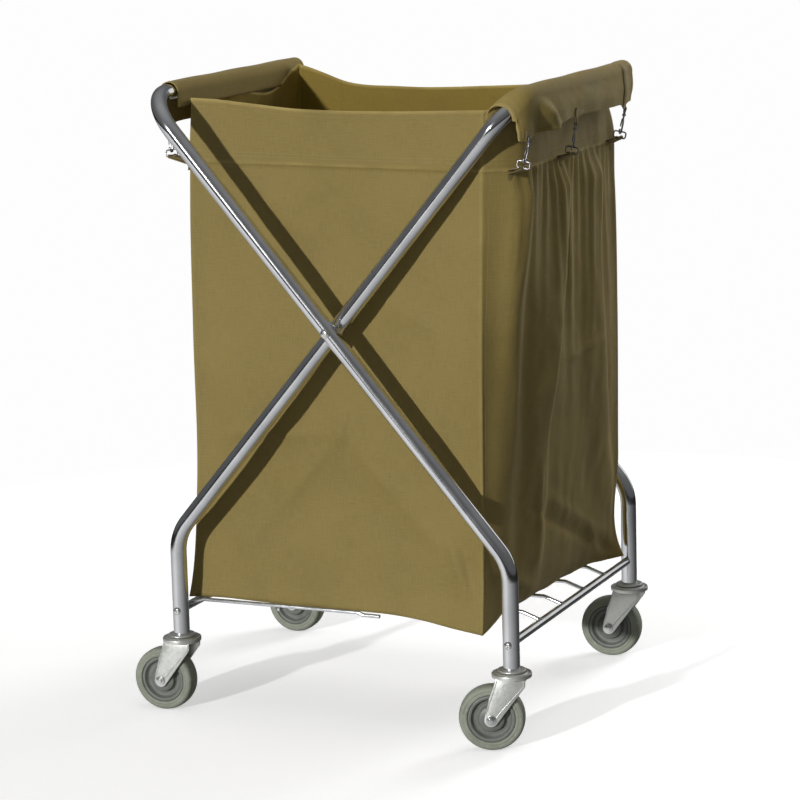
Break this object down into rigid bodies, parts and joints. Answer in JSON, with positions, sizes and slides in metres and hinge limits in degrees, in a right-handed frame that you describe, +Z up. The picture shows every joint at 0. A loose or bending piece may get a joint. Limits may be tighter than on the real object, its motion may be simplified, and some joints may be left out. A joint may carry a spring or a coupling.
{
  "type": "linen trolley",
  "caption": "Folding linen trolley: crossed chromed tube frames on swivel casters hold an open canvas bag between top bars, above a wire rack.",
  "frame": {"origin": "on the floor, under the middle of the whole trolley's box", "axes": "+Z up; the front face, with the crossed tubes, looks towards -Y; +X is to the right seen from the front, where the outer frame's legs stand"},
  "size_m": [0.6784, 0.6025, 0.9847],
  "materials": {
    "chrome_tube": "bright chromed steel tube, lightly scuffed",
    "zinc": "zinc-plated pressed steel",
    "bright_screw": "nickel-plated steel fasteners",
    "rack_wire": "chromed steel wire and bar",
    "tyre_rubber": "grey-green non-marking rubber",
    "hub_plastic": "grey moulded hub",
    "canvas": "khaki woven canvas, matt",
    "hook_nickel": "nickel-plated wire"
  },
  "bodies": {
    "pivots": {"pivot_bolt_front": "bright_screw", "pivot_washer_front": "zinc", "pivot_nut_front": "bright_screw", "pivot_bolt_rear": "bright_screw", "pivot_washer_rear": "zinc", "pivot_nut_rear": "bright_screw"},
    "outer_frame": {"frame_outer": "chrome_tube", "caster_stem_fr": "zinc", "caster_stem_br": "zinc"},
    "inner_frame": {"frame_inner": "chrome_tube", "caster_stem_fl": "zinc", "caster_stem_bl": "zinc"},
    "left_rack": {"rack_left": "rack_wire", "rack_screw_fl": "bright_screw", "rack_screw_bl": "bright_screw"},
    "right_rack": {"rack_right": "rack_wire", "rack_screw_fr": "bright_screw", "rack_screw_br": "bright_screw"},
    "bag": {"bag_body": "canvas"},
    "left_sleeve": {"bag_sleeve_left": "canvas", "snap_hook_l1": "hook_nickel", "d_ring_l1": "hook_nickel", "snap_hook_l2": "hook_nickel", "d_ring_l2": "hook_nickel", "snap_hook_l3": "hook_nickel", "d_ring_l3": "hook_nickel"},
    "gate_l1": {"snap_gate_l1": "hook_nickel"},
    "gate_l2": {"snap_gate_l2": "hook_nickel"},
    "gate_l3": {"snap_gate_l3": "hook_nickel"},
    "right_sleeve": {"bag_sleeve_right": "canvas", "snap_hook_r1": "hook_nickel", "d_ring_r1": "hook_nickel", "snap_hook_r2": "hook_nickel", "d_ring_r2": "hook_nickel", "snap_hook_r3": "hook_nickel", "d_ring_r3": "hook_nickel"},
    "gate_r1": {"snap_gate_r1": "hook_nickel"},
    "gate_r2": {"snap_gate_r2": "hook_nickel"},
    "gate_r3": {"snap_gate_r3": "hook_nickel"},
    "fork_fl": {"caster_fork_fl": "zinc", "caster_axle_fl": "bright_screw"},
    "wheel_fl": {"caster_hub_fl": "hub_plastic", "caster_tyre_fl": "tyre_rubber"},
    "fork_bl": {"caster_fork_bl": "zinc", "caster_axle_bl": "bright_screw"},
    "wheel_bl": {"caster_hub_bl": "hub_plastic", "caster_tyre_bl": "tyre_rubber"},
    "fork_fr": {"caster_fork_fr": "zinc", "caster_axle_fr": "bright_screw"},
    "wheel_fr": {"caster_hub_fr": "hub_plastic", "caster_tyre_fr": "tyre_rubber"},
    "fork_br": {"caster_fork_br": "zinc", "caster_axle_br": "bright_screw"},
    "wheel_br": {"caster_hub_br": "hub_plastic", "caster_tyre_br": "tyre_rubber"}
  },
  "joints": [
    {"name": "fold", "type": "hinge", "parent": "pivots", "child": "outer_frame", "pos_m": [0.0243, 0.0028, 0.61997], "axis": [0, 1, 0], "range_deg": [0, 20], "deforming": ["bag_body"]},
    {"name": "fold_inner", "type": "hinge", "parent": "pivots", "child": "inner_frame", "pos_m": [0.0243, 0.0028, 0.61997], "axis": [0, -1, 0], "range_deg": [0, 20]},
    {"name": "rack_left_level", "type": "hinge", "parent": "inner_frame", "child": "left_rack", "pos_m": [-0.2587, 0.0028, 0.163], "axis": [0, 1, 0], "range_deg": [0, 20]},
    {"name": "rack_right_level", "type": "hinge", "parent": "outer_frame", "child": "right_rack", "pos_m": [0.3073, 0.0028, 0.163], "axis": [0, -1, 0], "range_deg": [0, 20]},
    {"name": "bag_lift", "type": "slide", "parent": "pivots", "child": "bag", "axis": [0, 0, 1], "range_m": [0, 0.08]},
    {"name": "left_sleeve_level", "type": "hinge", "parent": "outer_frame", "child": "left_sleeve", "pos_m": [-0.2697, 0.0028, 0.969], "axis": [0, -1, 0], "range_deg": [0, 20]},
    {"name": "gate_l1_open", "type": "hinge", "parent": "left_sleeve", "child": "gate_l1", "pos_m": [-0.28362, -0.16671, 0.89799], "axis": [0.9848, 0, 0.1736], "range_deg": [0, 22], "stiffness_Nm_per_rad": 0.02, "springref_deg": -2.86},
    {"name": "gate_l2_open", "type": "hinge", "parent": "left_sleeve", "child": "gate_l2", "pos_m": [-0.28353, 0.03, 0.89749], "axis": [0.9848, 0, 0.1736], "range_deg": [0, 22], "stiffness_Nm_per_rad": 0.02, "springref_deg": -2.86},
    {"name": "gate_l3_open", "type": "hinge", "parent": "left_sleeve", "child": "gate_l3", "pos_m": [-0.28362, 0.22329, 0.89799], "axis": [0.9848, 0, 0.1736], "range_deg": [0, 22], "stiffness_Nm_per_rad": 0.02, "springref_deg": -2.86},
    {"name": "right_sleeve_level", "type": "hinge", "parent": "inner_frame", "child": "right_sleeve", "pos_m": [0.3183, 0.0028, 0.969], "axis": [0, 1, 0], "range_deg": [0, 20]},
    {"name": "gate_r1_open", "type": "hinge", "parent": "right_sleeve", "child": "gate_r1", "pos_m": [0.33235, -0.22534, 0.89873], "axis": [0.9848, 0, -0.1736], "range_deg": [0, 22], "stiffness_Nm_per_rad": 0.02, "springref_deg": -2.86},
    {"name": "gate_r2_open", "type": "hinge", "parent": "right_sleeve", "child": "gate_r2", "pos_m": [0.33213, -0.028, 0.89749], "axis": [0.9848, 0, -0.1736], "range_deg": [0, 22], "stiffness_Nm_per_rad": 0.02, "springref_deg": -2.86},
    {"name": "gate_r3_open", "type": "hinge", "parent": "right_sleeve", "child": "gate_r3", "pos_m": [0.33225, 0.19487, 0.89816], "axis": [0.9848, 0, -0.1736], "range_deg": [0, 22], "stiffness_Nm_per_rad": 0.02, "springref_deg": -2.86},
    {"name": "swivel_fl", "type": "hinge", "parent": "inner_frame", "child": "fork_fl", "pos_m": [-0.2587, -0.2382, 0.12], "axis": [0, 0, 1], "continuous": true},
    {"name": "spin_fl", "type": "hinge", "parent": "fork_fl", "child": "wheel_fl", "pos_m": [-0.2892, -0.23873, 0.05], "axis": [0.0175, -0.9998, 0], "continuous": true},
    {"name": "swivel_bl", "type": "hinge", "parent": "inner_frame", "child": "fork_bl", "pos_m": [-0.2587, 0.2438, 0.12], "axis": [0, 0, 1], "continuous": true},
    {"name": "spin_bl", "type": "hinge", "parent": "fork_bl", "child": "wheel_bl", "pos_m": [-0.28916, 0.2454, 0.05], "axis": [-0.0523, -0.9986, 0], "continuous": true},
    {"name": "swivel_fr", "type": "hinge", "parent": "outer_frame", "child": "fork_fr", "pos_m": [0.3073, -0.2652, 0.12], "axis": [0, 0, 1], "continuous": true},
    {"name": "spin_fr", "type": "hinge", "parent": "fork_fr", "child": "wheel_fr", "pos_m": [0.27813, -0.27412, 0.05], "axis": [0.2924, -0.9563, 0], "continuous": true},
    {"name": "swivel_br", "type": "hinge", "parent": "outer_frame", "child": "fork_br", "pos_m": [0.3073, 0.2708, 0.12], "axis": [0, 0, 1], "continuous": true},
    {"name": "spin_br", "type": "hinge", "parent": "fork_br", "child": "wheel_br", "pos_m": [0.27687, 0.26867, 0.05], "axis": [0.0698, -0.9976, 0], "continuous": true}
  ],
  "couplings": [
    {"joint": "fold_inner", "follows": "fold", "ratio": 1},
    {"joint": "rack_left_level", "follows": "fold", "ratio": 1},
    {"joint": "rack_right_level", "follows": "fold", "ratio": 1},
    {"joint": "bag_lift", "follows": "fold", "m_per_rad": 0.2275},
    {"joint": "left_sleeve_level", "follows": "fold", "ratio": 1},
    {"joint": "right_sleeve_level", "follows": "fold", "ratio": 1}
  ]
}
